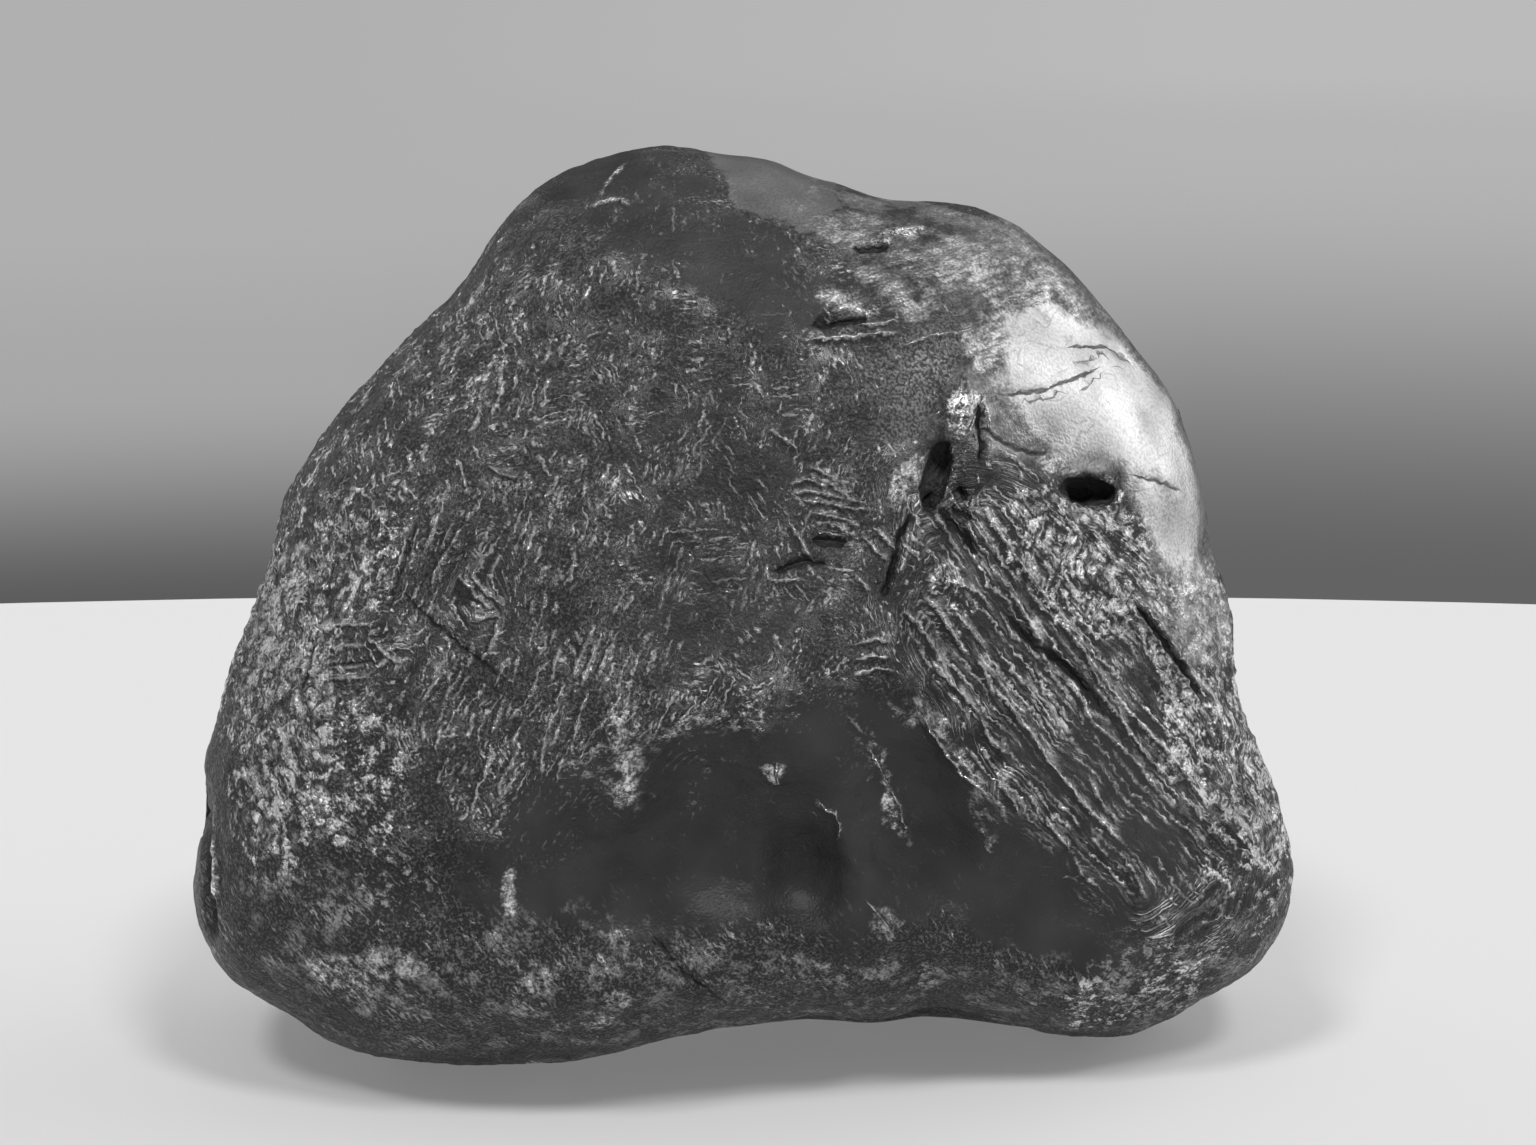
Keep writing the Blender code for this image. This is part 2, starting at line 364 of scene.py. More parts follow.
CHOPPED = (
    ((-20, 44), 66, 50, 0, 0.65),
    ((-84, 20), 50, 36, 55, 1.0),
    ((-40, -20), 60, 40, 0, 0.7),
    ((30, -8), 14, 20, 0, 0.6),
    ((80, 6), 22, 18, -40, 0.6),
)
CRUMBLY = (
    ((99, -12), 12, 40, 12, 0.9),
    ((86, 0), 20, 10, -45, 0.9),
    ((72, 2), 20, 12, -52, 0.85),
    ((43, -5), 8, 6, -50, 0.5),
    ((87, -97), 22, 9, 20, 0.5),
    ((112, -46), 10, 26, 20, 0.8),
    ((-114, -30), 14, 40, 0, 0.8),
    ((-96, -48), 14, 20, 0, 0.5),
    ((-90, -70), 14, 18, 0, 0.3),
    ((114, -70), 16, 18, 0, 0.35),
    ((-98, 4), 12, 18, 0, 0.5),
    ((-36, -43), 14, 8, 30, 0.5),
    ((-12, -36), 12, 4, 20, 0.5),
    ((-72, 52), 18, 12, 45, 0.35),
)
SCALY = (
    ((0, -102), 130, 12, 0, 0.5),
    ((-112, -74), 16, 24, 0, 0.5),
    ((-60, -92), 50, 14, 0, 0.45),
    ((104, -90), 30, 16, 20, 0.6),
)
WORN = (
    ((72, 54), 40, 22, -48, 1.0),
    ((98, 18), 22, 12, -80, 1.0),
    ((66, 32), 16, 8, -10, 0.7),
    ((40, 74), 34, 14, -25, 0.6),
    ((24, 66), 16, 8, 0, 0.5),
    ((28, 86), 24, 10, -18, 0.6),
)
# The smooth facet on top, painted lighter where the light from above falls on it.
LIT_FACET = (
    ((1, 93), 17, 7.5, -22, 1.0),
    ((11, 84), 6, 5, -30, 0.8),
)
SANDY = (
    ((36, 44), 12, 7, 55, 1.0),
    ((35, 46), 18, 11, 50, 0.6),
    ((34, 48), 24, 15, 45, 0.35),
    ((56, 40), 12, 8, 0, 0.8),
)
# Single ridges and grooves of the broad face: half width, height or depth, and the places
# that each one joins.
RIDGES = (
    (1.2, 1.2, (38, 15), (41, 11), (44.5, 5)),
    (0.9, 1.2, (50, 17), (52, 13), (56, 7), (60, 1), (64, -4), (68, -9), (73, -15), (78, -21)),
    (0.9, 0.9, (60, -1), (64, -8), (70, -13), (74, -18), (78, -26), (82, -31), (86, -37)),
    (0.9, 0.9, (56, -3), (60, -9), (64, -16), (66, -21), (67, -24)),
    (1.2, 1.2, (36, -5), (40, -9), (43, -14), (46, -18), (48, -20)),
    (0.9, 0.9, (31, -8), (36, -13), (40, -19), (42, -24)),
    (0.9, 0.8, (44, -2), (50, -5), (53, -9)),
    (0.8, 0.8, (44, -9), (49, -15), (52, -19)),
    (1.0, 1.0, (70, -13), (79, -25), (85, -33), (90, -38), (95, -43), (100, -50)),
    (1.0, 1.0, (68, -23), (74, -30), (76, -35), (82, -40), (88, -46), (92, -52)),
    (0.9, 0.9, (76, -26), (82, -33), (87, -40), (91, -46)),
    (1.3, 1.6, (51, -25), (55, -29), (58, -33), (62, -38), (65, -43), (70, -49), (75, -55),
        (79, -59), (85, -65)),
    (1.4, 1.6, (65, -57), (68, -61), (72, -66)),
    (0.9, 1.1, (72, -67), (74, -71), (78, -74)),
    (1.3, 1.5, (50, -34), (52, -39), (57, -43)),
    (1.6, 1.7, (35, -30), (38, -36), (42, -42), (46, -47), (50, -50), (53, -55)),
    (1.0, 1.0, (43, -41), (47, -46), (52, -50)),
    (1.4, 1.2, (38, -20), (45, -28), (51, -34)),
    (1.0, 1.0, (49, -20), (52, -25), (53, -29)),
    (1.0, 1.0, (54, -25), (58, -31), (61, -34)),
    (0.9, 1.0, (54, -49), (58, -54), (59, -57)),
    (0.8, 0.9, (75, -47), (79, -55), (83, -60)),
    (0.8, 0.9, (82, -65), (86, -70), (89, -77)),
    (0.8, 0.9, (76, -62), (80, -67)),
    (0.8, 0.9, (85, -42), (90, -49), (96, -56)),
    (0.9, 0.9, (84, -5), (89, -12), (93, -18), (97, -23), (100, -28), (103, -34)),
    (0.9, 0.9, (87, -5), (92, -12), (96, -18), (100, -24), (103, -29)),
    (0.8, 0.9, (10, 25), (12, 24), (17, 21.5)),
    (0.8, 1.0, (10.5, 23), (15, 20.5), (20, 17), (24, 16)),
    (0.8, 0.8, (5, 21), (9, 22), (12, 21), (15, 20)),
    (0.8, 0.8, (5, 19), (12, 19), (19, 17)),
    (0.8, 0.8, (7, 17), (13, 16.5), (20, 15), (25, 15)),
    (0.8, 0.8, (10, 14), (16, 13), (22, 11)),
    (0.8, 0.9, (14, 12), (17, 10.5), (19, 9)),
    (0.8, 0.8, (5, 12), (8, 7), (10, 4), (13, 1)),
    (0.8, 0.9, (0, -2), (8, -1.5)),
    (0.8, 0.9, (20, -0.5), (24, -4.5)),
    (1.0, 1.0, (24, 11), (28, 8), (30, 5), (30, 2)),
    (0.8, 0.8, (22, 9), (26, 5), (28, 3)),
    (0.9, 1.0, (20, -17), (25, -15.5), (29, -16.5)),
    (0.9, 1.0, (20, -20.5), (25, -19.5), (29, -20)),
    (0.9, 1.0, (20, -24), (25, -22.5), (30, -23)),
    (0.9, 1.3, (9, 55), (17, 55), (31, 56.5)),
    (0.8, 0.9, (20, 58), (26, 58.5), (31, 59.5)),
    (0.9, 1.0, (24, 79), (31, 80.5), (38, 81.5)),
    (0.9, 0.7, (31, 53), (35, 54.5), (40, 56.5), (45, 56.5), (49, 58)),
    (0.6, 0.5, (54, 64), (60, 64.5), (66, 66)),
    (0.9, 1.2, (46, 31), (48.5, 36), (50.5, 41), (53, 31)),
    (0.8, 0.8, (53, 30), (58, 27), (62, 23)),
    (0.7, 0.6, (0, 34), (6, 30), (8, 27)),
    (0.9, 1.0, (-63, -10), (-64, -15), (-66, -19.5)),
    (0.9, 1.1, (-62, -29), (-63, -33), (-65, -38)),
    (0.8, 0.9, (-60, -30), (-61.5, -34)),
    (0.8, 0.9, (-58, -36), (-60, -40)),
    (0.8, 0.9, (-55, -6), (-56, -10)),
    (0.8, 0.9, (-50, -13), (-51, -17)),
    (0.8, 0.9, (-49, -17), (-50, -22), (-51, -26)),
    (0.9, 1.1, (-42, -15), (-44, -20), (-46, -25)),
    (0.9, 1.0, (-40, -16), (-42, -22), (-44, -27)),
    (0.9, 1.1, (-36, -16), (-38, -19), (-40, -25)),
    (1.1, 1.3, (-42, -28), (-44, -33), (-45, -37), (-45.5, -40)),
    (0.8, 0.9, (-48, -26), (-50, -32)),
    (1.1, 1.3, (-65, -42), (-66, -47), (-68, -50), (-69, -54), (-70, -57)),
    (0.8, 0.9, (-59, -42), (-61, -47)),
    (0.8, 0.9, (-62, -47), (-63, -50), (-63, -54)),
    (0.8, 0.8, (-52, -37), (-53, -42), (-53, -48)),
    (0.8, 0.9, (-48, -43), (-50, -49)),
    (0.8, 0.9, (-70, -24), (-74, -30)),
    (0.8, 0.9, (-72, -23), (-76, -30)),
    (0.8, 0.8, (-77, -35), (-78, -43)),
    (0.9, 0.9, (-100, 20.5), (-95, 19), (-93, 17), (-90, 11), (-88, 9)),
    (0.8, 0.9, (-87, 21), (-82, 17)),
    (0.9, 1.1, (-78, 12), (-80, 6), (-81, 4)),
    (0.9, 1.1, (-74, 12), (-77, 5)),
    (0.9, 1.1, (-72, 11), (-75, 5), (-78, 0), (-79, -4)),
    (1.0, 1.0, (-66, 25), (-62, 23), (-58, 22)),
    (0.8, 0.9, (-105, -12.5), (-93, -12)),
    (0.8, 0.8, (-105, -17.5), (-95, -17)),
    (0.8, 0.8, (-104, -22.5), (-95, -22)),
    (0.8, 0.8, (-104, -25), (-94, -24.5)),
    (0.9, 0.9, (-94, -15), (-91, -18), (-86, -22)),
    (0.9, 1.0, (-73, 0), (-68, -6), (-65, -9)),
    (0.9, 1.0, (-70, 0), (-66, -5), (-62, -8)),
    (2.2, 1.2, (23, -40), (27, -47), (31, -55), (33, -63)),
    (0.9, 0.8, (11, -54), (16, -57), (17, -60), (16, -63)),
    (2.6, 1.6, (2, -45), (2, -50)),
    (1.2, 1.0, (19, -34), (23, -38)),
    (1.4, 0.9, (23, -77), (28, -83), (30, -87)),
    (0.7, 1.3, (-130.6, -62), (-130.2, -70), (-129.8, -78)),
    (0.8, 0.7, (-40, 88), (-37, 93), (-33, 97)),
    (0.8, 0.7, (-42, 86), (-36, 88), (-32, 87)),
)
GROOVES = (
    (1.1, 1.8, (35, 15), (31, 8), (30, 3), (29, 0), (27, -6)),
    (1.2, 1.5, (40, 16), (46, 9.5), (50, 4)),
    (1.5, 1.6, (56, -9), (63, -17), (69, -21), (75, -27), (79, -33)),
    (0.9, 1.4, (85.5, -6), (90, -12), (94, -18), (98, -23), (101, -28), (104, -34)),
    (1.0, 1.4, (49.3, 40), (49.8, 35), (51, 30), (50, 25)),
    (0.6, 0.6, (48, 36), (52, 33), (58, 29.5), (63, 28), (67, 28.5)),
    (1.3, 1.4, (20, 76.5), (29, 77)),
    (1.6, 1.8, (10, 58.5), (18, 60), (24, 60)),
    (0.5, 0.45, (54, 41.6), (64, 42.8), (70.5, 45), (79, 48.6)),
    (0.5, 0.4, (70, 53.3), (80, 53.3), (87, 48.6)),
    (0.5, 0.45, (85, 23), (91, 22), (98, 19)),
    (1.8, 1.4, (10, 8), (19, 7)),
    (1.3, 1.4, (1, 0), (9, 3), (14, 2)),
    (1.6, 1.8, (37.5, 18), (39, 16)),
    (2.0, 1.6, (45, 20), (46.5, 17)),
    (2.0, 1.4, (43, 16), (48, 13)),
    (2.6, 2.6, (71, 19.5), (77, 18.8)),
    (1.2, 3.0, (-132.6, -48), (-132.2, -65), (-131.4, -78), (-130.6, -88)),
    (0.5, 0.6, (-101.4, 6.2), (-105.7, -13.4), (-111.8, -33.1)),
    (0.5, 0.6, (-81.7, 14.8), (-87.2, -1.1), (-90.3, -10.9)),
    (0.5, 0.6, (-88.5, -2.3), (-79.9, -10.9), (-72.5, -17.1), (-61.5, -25.7)),
    (0.5, 0.6, (-104.4, -22), (-98, -21.3), (-92.1, -20.8)),
    (0.5, 0.5, (-28, -84), (-20, -94), (-8, -103)),
)
# Deep holes: middle, half length, half width, turn and depth.
HOLES = (
    ((75.7, 19.2), 6.4, 2.8, -10, 6.0),
    ((39.6, 22.5), 8.5, 2.9, 76, 6.0),
)
# Soft patches that are worn bright; the smooth worn shoulder, whose brightness is partly a
# painted highlight; and dark patches of smoother skin without bright lines, which are painted
# shade, most of all in the hollow under the brow.
BRIGHT = (
    ((-106, 4), 4, 3, 0, 0.7),
    ((-97, 5), 3, 2, 0, 0.5),
    ((-114, -24), 8, 26, 15, 0.4),
    ((-33, -42), 5, 9, 10, 0.7),
    ((-33, -52), 4, 2, 0, 0.8),
    ((-20, -36), 6, 3, 20, 0.7),
    ((-59, -74), 2, 8, 5, 0.7),
    ((-95, -94), 16, 7, -5, 0.65),
    ((-118, -72), 4, 3, 0, 0.6),
    ((-55, -94), 6, 4, -30, 0.55),
    ((-38, -103), 4, 2.5, 0, 0.6),
    ((2.5, -48), 2.2, 3, 0, 0.9),
    ((28, -51), 15, 1.8, -70, 0.7),
    ((44, -43), 17, 1.7, -52, 0.7),
    ((50, -58), 9, 1.5, -75, 0.5),
    ((20, -44), 2.5, 6, 15, 0.35),
    ((14, -93), 5, 3.5, 0, 0.5),
    ((38, -95), 4.5, 4, 0, 0.55),
    ((-6, -99), 9, 2, 5, 0.4),
    ((34.6, 22), 3.2, 9, -24, 0.8),
    ((47, 37), 3, 5, -20, 0.7),
    ((23, 63), 4, 1.5, 15, 0.8),
    ((30, -33), 8, 2.5, -25, 0.5),
    ((82, 17), 2.5, 2, 0, 0.8),
    ((10, 58), 2.5, 2, 0, 0.7),
    ((30, 80), 8, 1.4, 8, 0.8),
    ((98, -46), 7, 4, -30, 0.7),
    ((92, -8), 14, 10, -50, 0.4),
    ((28, -83), 2.5, 7, 33, 0.6),
)
# The smooth worn shoulder: polished metal, painted brighter where the lamp's highlight lies on
# it.
POLISHED_HIGHLIGHT = (
    ((74, 43), 21, 15, -50, 1.0),
    ((66, 58), 11, 8, -40, 0.9),
    ((94, 20), 22, 10, -78, 0.85),
    ((88, 38), 14, 10, -60, 0.95),
    ((97, -6), 18, 12, -75, 0.5),
    ((62, 38), 16, 12, 20, 0.45),
    ((46, 40), 12, 10, 30, 0.3),
)
# Dark patches: the bright lines and most of the relief are left out, as painted shade, most of
# all in the hollow under the brow.
DARK_AND_SHADE = (
    ((-20, -62), 48, 24, 8, 1.0),
    ((20, -58), 30, 28, 0, 1.0),
    ((52, -68), 46, 15, -36, 1.0),
    ((-30, 86), 22, 14, -30, 0.65),
    ((-8, 74), 16, 12, -40, 0.75),
    ((86, -57), 28, 10, -56, 0.85),
    ((62, -44), 14, 5, -56, 0.7),
    ((4, 62), 10, 8, 0, 0.6),
    ((-10, 10), 26, 40, 0, 0.45),
    ((-14, -8), 16, 10, 0, 0.6),
    ((46, 67), 9, 4, 10, 0.6),
    ((36, 61), 10, 4, 0, 0.5),
    ((-92, -76), 16, 8, 0, 0.4),
    ((-60, -72), 14, 12, 0, 0.6),
)

# How far the edges of the skins wander, and how finely the single lines are crinkled.
WANDER_SIZE = 16
WANDER = 7
FOLD_SIZE = 1.9
FOLD = 0.8
# Each skin, its places in front, and how strong its patches are behind, where nothing is known.
SKINS = (
    ("west", WEST_LINES, 0.5),
    ("east", EAST_LINES, 0.5),
    ("level", LEVEL_LINES, 0.4),
    ("chopped", CHOPPED, 0.5),
    ("crumbly", CRUMBLY, 0.4),
    ("scaly", SCALY, 0.3),
    ("shine", POLISHED_HIGHLIGHT, 0.1),
    ("worn", WORN, 0.15),
    ("facet", LIT_FACET, 0.0),
    ("sandy", SANDY, 0.2),
    ("bright", BRIGHT, 0.2),
    ("dark", DARK_AND_SHADE, 0.3),
)
# Ridges along one set of plates: their spacing, their length and the move of their fields.
PLATE_RIDGES = (("west", 3.4, 20, 0), ("east", 3.1, 9, 50), ("level", 3.1, 9, 90))
CHIPS = (("west", 13), ("east", 43), ("level", 73), ("face", 103))
CHIP_SPACING = 1.9
CHIP_LENGTH = 3.5
# Heights of the relief in millimetres. The mean is taken off, so that the mass keeps its size,
# and the relief fades out at the ground, where the mass rests on its flat spot.
RIDGE_HEIGHT = 0.7
BOLD_HEIGHT = 1.3
CHIP_HEIGHT = 0.3
CRUMB_HEIGHT = 1.2
SWELL_HEIGHT = 0.5
MEAN_HEIGHT = 0.35
FLAT_SPOT = 0.2
GROUND_FADE = 2.5
HOLE_EDGE = 1.15
HOLE_WALL = 0.5
FULLY_DEEP = 4
LINES_APART = 3.6
CELL_SIZE = 8.5
# Random values of the finish: size, move of the field, octaves and the share of each next one.
BLENDS = (
    ("bends", 14, 7, 2, 0.5),
    ("denser", 7, 12, 3, 0.5),
    ("blotch", 12, 19, 3, 0.5),
    ("clouds", 9, 23, 3, 0.6),
    ("blots", 11, 29, 3, 0.65),
    ("wrinkles", 4.8, 37, 2, 0.5),
)
# Rubbing has drawn the worn skin out along streaks that fall to the right.
WIPED = math.radians(-13)
VEIN_SIZES = (39, 13, 2.9)

mass = divided_mass()
points = read_points(mass.data, "co") / MM
normals = read_points(mass.data, "normal")
rest = points.copy()
places = seen_places(points)
facing = normals @ FACE_OUT
edge = 0.9 * field(points / WANDER_SIZE + 50)
front = soft_step((facing + 0.28 + edge) / 0.3)
loose = places + fields(points / WANDER_SIZE, 3, 31) * WANDER

skins = {}
for name, ellipses, behind in SKINS:
    elsewhere = behind * soft_step(field(points / 30 + len(name)) * 3 + 0.5)
    skins[name] = patches(loose, ellipses) * front + elsewhere * (1 - front)
bare = 1 - 0.9 * np.maximum(skins["worn"], np.maximum(skins["facet"], skins["sandy"]))
calm = bare * (1 - 0.85 * skins["dark"])

lifted = np.column_stack([places, np.zeros(len(places))])
crinkled = places + fields(lifted / FOLD_SIZE, 5, 60) * FOLD
crest = np.zeros(len(points))
for name, spacing, length, move in PLATE_RIDGES:
    edge = plate_ridges(points, name, spacing, length, move)
    crest = np.maximum(crest, edge * skins[name] * calm)
chips = np.zeros(len(points))
for name, move in CHIPS:
    edge = plate_ridges(points, name, CHIP_SPACING, CHIP_LENGTH, move)
    chips = np.maximum(chips, edge)
chips *= np.maximum(skins["chopped"], 0.3) * calm
crumbs = (field(points / 2.6) + 0.6 * field(points / 1.2 + 9)) * skins["crumbly"] * bare
swells = field(points / 9 + 5) + 0.9 * field(points / 3.3 + 40) * bare
bold = drawn_lines(crinkled, RIDGES) * (facing > 0)
cut = drawn_lines(crinkled, GROOVES) * (facing > 0)
hole = np.zeros(len(points))
for *ellipse, depth in HOLES:
    reach = ellipse_reach(crinkled, *ellipse)
    inside = soft_step((HOLE_EDGE - reach) / HOLE_WALL) * (facing > 0)
    hole = np.maximum(hole, inside * depth)
height = RIDGE_HEIGHT * np.maximum(crest, BOLD_HEIGHT * bold) + CHIP_HEIGHT * chips
height += CRUMB_HEIGHT * crumbs
height += SWELL_HEIGHT * swells
height -= cut
height *= soft_step((points[:, 2] - FLAT_SPOT) / GROUND_FADE)
near_ground = soft_step(points[:, 2:] / GROUND_FADE)
points += normals * (height - MEAN_HEIGHT)[:, None] * near_ground
points -= np.array(FACE_OUT) * hole[:, None]
points[:, 2] = np.maximum(points[:, 2], 0)
mass.data.vertices.foreach_set("co", (points * MM).ravel())

# What the finish reads at each vertex: the skins, the lines, and where the plates change.
# How deep the holes are, which the finish reads to paint shade in them.
skins["deep"] = np.clip(hole / FULLY_DEEP, 0, 1)
ridge_sets = line_sets(RIDGES, LINES_APART)
groove_sets = line_sets(GROOVES, LINES_APART)
for kind, sets in (("ridge", ridge_sets), ("groove", groove_sets)):
    for number, lines in enumerate(sets):
        sides, rises = line_sides(crinkled, lines)
        skins[f"{kind}_side_{number}"] = sides
        skins[f"{kind}_rise_{number}"] = rises * (facing > 0)
west_share = skins["west"] + 0.35 * skins["chopped"]
east_share = skins["east"] + 0.4 * skins["chopped"]
all_shares = west_share + east_share + skins["level"] + 0.25 * skins["chopped"]
drawn = cell_values((rest + 4 * fields(rest / 4, 20, 47, 74)) / CELL_SIZE) * all_shares
skins["not_west"] = drawn > west_share
skins["only_level"] = drawn > west_share + east_share
skins["kinds"] = all_shares
skins["run"] = 0.35 + 0.75 * ((drawn / np.maximum(all_shares, 0.01) * 7.3) % 1)
skins["run"] += (0.08 - skins["run"]) * soft_step(skins["west"] * 2)
skins["carved"] = bare * (1 - 0.8 * skins["dark"] * (1 - 0.5 * skins["west"]))
skins["carved"] *= 1 - 0.85 * skins["shine"]
for name, size, move, octaves, share in BLENDS:
    skins[name] = rich(rest / size + move, octaves, share)
wiped = rest @ np.array(Matrix.Rotation(WIPED, 3, "Y")) / VEIN_SIZES
skins["veins"] = rich(wiped + 41, 2, 0.5)
for name, values in skins.items():
    layer = mass.data.attributes.new(name, "FLOAT", "POINT")
    layer.data.foreach_set("value", np.asarray(values, dtype=float))
thinned = mass.modifiers.new("thinned", "DECIMATE")
thinned.ratio = min(1, MOST_TRIANGLES / (2 * len(mass.data.polygons)))
bake_modifiers(mass)
mass.data.shade_smooth()


# Finish of the iron: dark oxide skin in the hollows, brighter bare metal on the crests and
# where the shoulder is worn, all of it near neutral grey. Weather has made the skin and hands
# have rubbed it, and most tones come from how far a place is etched or rubbed. Some are
# painted light and shade: a lit and a shaded side beside each bold crest, shade beside the
# fine ridges, in the holes and in the dark patches, light on the top facet and a painted
# highlight over the worn shoulder.
GRAIN_SIZE = 0.0007
BEAD_SIZE = 0.0015
CRINKLE_SIZE = 0.0018
MOTTLE_SIZE = 0.0028
STREAK_SIZES = (0.012, 0.004, 0.0009)
ROW_SPACING = 2.2
SKIN_TONE = 0.022
DARK_SKIN_TONE = 0.037
BARE_TONE = 0.82
WORN_TONE = 0.48
SCALE_TONE = 0.5
# The tone of the facet on top is painted light.
LIT_FACET_TONE = 0.22
SAND_TONES = (0.08, 0.26)
DEEP_TONE = 0.08
POLISHED_HIGHLIGHT_TONE = 0.6
DARK_GLOSS = 0.42
BARE_GLOSS = 0.32


def shader_node(tree, kind, inputs, **settings):
    """A node of that kind, with its settings and the values or links of its inputs."""
    made = tree.nodes.new(kind)
    for name, value in settings.items():
        setattr(made, name, value)
    for name, value in inputs.items():
        if isinstance(value, bpy.types.NodeSocket):
            tree.links.new(value, made.inputs[name])
        else:
            made.inputs[name].default_value = value
    return made


def maths(tree, operation, first, *others):
    """The result of one operation, worked from left to right."""
    for other in others or (0.0,):
        inputs = {0: first, 1: other}
        made = shader_node(tree, "ShaderNodeMath", inputs, operation=operation)
        first = made.outputs[0]
    return first


def product(tree, *values):
    """Values multiplied with each other."""
    return maths(tree, "MULTIPLY", *values)


def added(tree, *values):
    """Values added together."""
    return maths(tree, "ADD", *values)


def largest(tree, *values):
    """The largest of some values."""
    return maths(tree, "MAXIMUM", *values)


def dot_product(tree, first, second):
    """How far the first vector goes along the second."""
    inputs = {0: first, 1: second}
    made = shader_node(tree, "ShaderNodeVectorMath", inputs, operation="DOT_PRODUCT")
    return made.outputs["Value"]


def attribute(tree, name):
    """One of the skin's own values."""
    made = shader_node(tree, "ShaderNodeAttribute", {}, attribute_name=name)
    return made.outputs["Fac"]


def spots(tree, where, size, detail=2.0, rough=0.5):
    """Random grey values that change over size."""
    inputs = {"Vector": where, "Scale": 1 / size, "Detail": detail, "Roughness": rough}
    return shader_node(tree, "ShaderNodeTexNoise", inputs).outputs["Fac"]


def spread(tree, value, low, high, to_low=0.0, to_high=1.0):
    """Value from low to high, spread evenly over another range."""
    inputs = {
        "Value": value,
        "From Min": low,
        "From Max": high,
        "To Min": to_low,
        "To Max": to_high,
    }
    return shader_node(tree, "ShaderNodeMapRange", inputs).outputs["Result"]


def mixed(tree, share, first, second):
    """The first vector where share is 0 and the second where it is 1."""
    inputs = {0: share, 4: first, 5: second}
    return shader_node(tree, "ShaderNodeMix", inputs, data_type="VECTOR").outputs[1]


def joined(tree, x, y, z):
    """One vector of three values."""
    inputs = {"X": x, "Y": y, "Z": z}
    return shader_node(tree, "ShaderNodeCombineXYZ", inputs).outputs["Vector"]


def fine_ridges(tree, plates, warp, spacing, length, there, wide):
    """Crinkled ridges along the edges of the plates, which start and stop, and shade painted
    beside them.
    """
    across = maths(tree, "DIVIDE", added(tree, plates[0], warp), spacing)
    row = maths(tree, "FLOOR", across)
    beside = maths(tree, "SUBTRACT", maths(tree, "FRACT", across), 0.5)
    beside = product(tree, maths(tree, "ABSOLUTE", beside), spacing)
    rows = joined(
        tree,
        product(tree, row, ROW_STEP),
        maths(tree, "DIVIDE", plates[1], length),
        maths(tree, "DIVIDE", plates[2], length),
    )
    wave = spots(tree, rows, 1, 1)
    shown = spread(tree, added(tree, wave, there), 0.97, 1.06)
    ridge = spread(tree, maths(tree, "DIVIDE", beside, wide), 0.1, 1.0, 1.0, 0.0)
    # Painted shade: a dark band round each ridge, as if its troughs lay in shade.
    trough_shade = spread(tree, beside, 0.5, 1.0, 1.0, 0.0)
    return product(tree, ridge, shown), product(tree, trough_shade, shown)


def ragged(tree, name, rough, amount):
    """A share of the skin with ragged edges: how much of the place that skin covers."""
    loose = product(tree, maths(tree, "SUBTRACT", rough, 0.5), amount)
    there = attribute(tree, name)
    loose = product(tree, loose, spread(tree, there, 0.0, 0.15))
    return spread(tree, added(tree, there, loose), 0.35, 0.65)


iron = bpy.data.materials.new("weathered_iron")
iron.use_nodes = True
tree = iron.node_tree
shader = tree.nodes["Principled BSDF"]
where = shader_node(tree, "ShaderNodeTexCoord", {}).outputs["Object"]
grain = spots(tree, where, GRAIN_SIZE, 2)
beads = spots(tree, where, BEAD_SIZE, 1)
mottle = spots(tree, where, MOTTLE_SIZE, 4, 0.7)
fray = maths(tree, "SUBTRACT", mottle, 0.5)
crinkles = spread(tree, spots(tree, where, CRINKLE_SIZE, 1), 0, 1, -0.9, 0.9)
warp = added(tree, crinkles, spread(tree, attribute(tree, "bends"), 0, 1, -3.5, 3.5))
denser = spread(tree, attribute(tree, "denser"), 0.35, 0.65, -0.14, 0.1)
thick = spread(tree, mottle, 0.38, 0.62, 0.25, 1.0)
west = attribute(tree, "west")
carved = attribute(tree, "carved")

# Patches of the skin, each with the edges of one set of plates: rows, and fibres between them.
not_west = maths(tree, "GREATER_THAN", attribute(tree, "not_west"), 0.5)
only_level = maths(tree, "GREATER_THAN", attribute(tree, "only_level"), 0.5)
axes = {name: (plate_axes(normal) / MM).tolist() for name, normal in PLATES.items()}
plates = []
for number in range(3):
    slanted = mixed(tree, not_west, axes["west"][number], axes["east"][number])
    axis = mixed(tree, only_level, slanted, axes["level"][number])
    plates.append(dot_product(tree, where, axis))
all_kinds = attribute(tree, "kinds")
there = added(
    tree,
    spread(tree, all_kinds, 0, 1, 0.2, 0.5),
    denser,
    spread(tree, west, 0.3, 1, 0.0, 0.07),
)
length = spread(tree, west, 0, 1, 6.0, 16.0)
wide = product(tree, thick, 0.7)
rows, trough_shades = fine_ridges(tree, plates, warp, ROW_SPACING, length, there, wide)
rows = product(tree, rows, spread(tree, beads, 0.36, 0.58, 0.3, 1.25))
run = attribute(tree, "run")
stretched = joined(
    tree,
    product(
        tree,
        added(tree, plates[0], product(tree, warp, 0.6)),
        spread(tree, west, 0, 1, 1.3, 0.9),
    ),
    product(tree, plates[1], run),
    product(tree, plates[2], run),
)
fibre = spots(tree, stretched, 1, 4, 0.68)
fibre = added(tree, fibre, product(tree, denser, 0.85))
fibres = added(
    tree,
    spread(tree, fibre, 0.4, 0.7, 0.0, 0.25),
    spread(tree, fibre, 0.57, 0.65, 0.0, 1.05),
)
# The fibres are dimmed beside the rows: painted shade in their troughs.
fibres = product(
    tree,
    fibres,
    spread(tree, all_kinds, 0.1, 0.6, 0.3, 1.0),
    spread(tree, west, 0.3, 1, 1.0, 1.35),
    spread(tree, trough_shades, 0, 1, 1.0, 0.2),
)
lines = largest(tree, rows, fibres)

